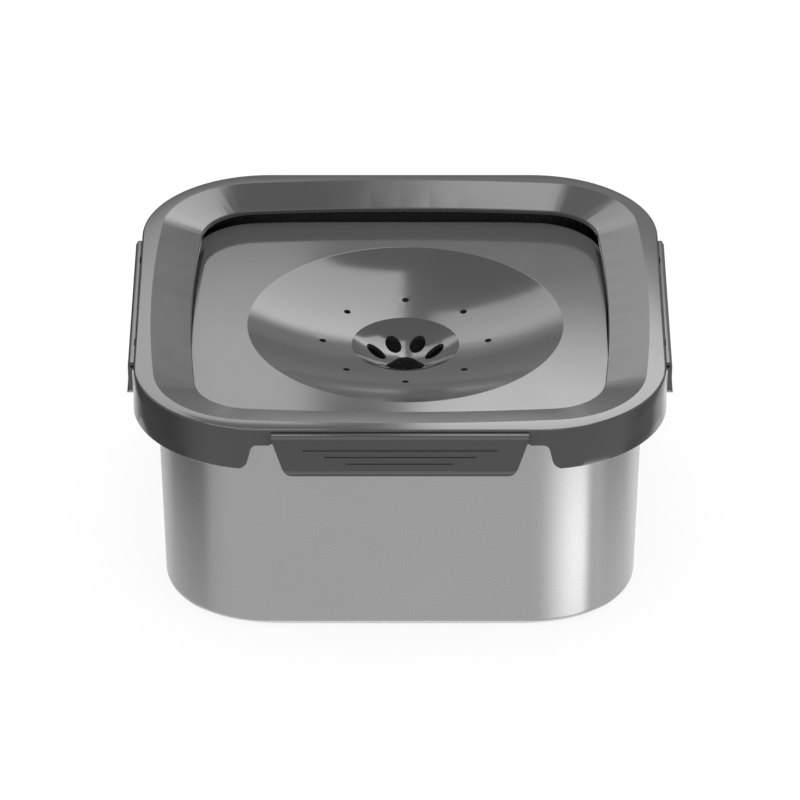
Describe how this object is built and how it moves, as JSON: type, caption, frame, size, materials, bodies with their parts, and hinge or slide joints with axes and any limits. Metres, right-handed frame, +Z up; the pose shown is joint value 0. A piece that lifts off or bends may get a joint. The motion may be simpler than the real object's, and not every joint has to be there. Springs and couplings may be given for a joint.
{
  "type": "floating water bowl",
  "caption": "Square no-spill pet water bowl: steel basin, clip-on plastic lid ring with hinged latches, and a floating dished plate with paw-shaped holes.",
  "frame": {"origin": "on the floor under the middle of the bowl", "axes": "+Z up, front of the bowl towards -Y, +X to the right seen from the front"},
  "size_m": [0.2576, 0.2576, 0.116],
  "materials": {
    "steel": "satin stainless steel",
    "lid_plastic": "gloss",
    "float_plastic": "gloss",
    "tray_plastic": "fine moulded",
    "latch_plastic": "satin gloss",
    "silicone": "matt silicone",
    "pin_steel": "drawn wire"
  },
  "bodies": {
    "bowl": {"basin": "steel", "foot_pad_back_right": "silicone", "foot_pad_back_left": "silicone", "foot_pad_front_left": "silicone", "foot_pad_front_right": "silicone"},
    "float": {"float_plate": "float_plastic", "float_tray": "tray_plastic"},
    "lid": {"lid_frame": "lid_plastic", "lid_seal": "silicone", "hinge_pin_right": "pin_steel", "hinge_pin_back": "pin_steel", "hinge_pin_left": "pin_steel", "hinge_pin_front": "pin_steel"},
    "clip_right": {"latch_right": "latch_plastic"},
    "clip_back": {"latch_back": "latch_plastic"},
    "clip_left": {"latch_left": "latch_plastic"},
    "clip_front": {"latch_front": "latch_plastic"}
  },
  "joints": [
    {"name": "float_level", "type": "slide", "parent": "bowl", "child": "float", "axis": [0, 0, 1], "range_m": [-0.0775, 0.006], "stiffness_N_per_m": 320, "springref_m": 0.0053},
    {"name": "lid_lift", "type": "slide", "parent": "bowl", "child": "lid", "axis": [0, 0, 1], "range_m": [0, 0.12]},
    {"name": "latch_right_turn", "type": "hinge", "parent": "lid", "child": "clip_right", "pos_m": [0.126, 0, 0.1121], "axis": [0, -1, 0], "range_deg": [-7, 115]},
    {"name": "latch_back_turn", "type": "hinge", "parent": "lid", "child": "clip_back", "pos_m": [0, 0.126, 0.1121], "axis": [1, 0, 0], "range_deg": [-7, 115]},
    {"name": "latch_left_turn", "type": "hinge", "parent": "lid", "child": "clip_left", "pos_m": [-0.126, 0, 0.1121], "axis": [0, 1, 0], "range_deg": [-7, 115]},
    {"name": "latch_front_turn", "type": "hinge", "parent": "lid", "child": "clip_front", "pos_m": [0, -0.126, 0.1121], "axis": [-1, 0, 0], "range_deg": [-7, 115]}
  ]
}
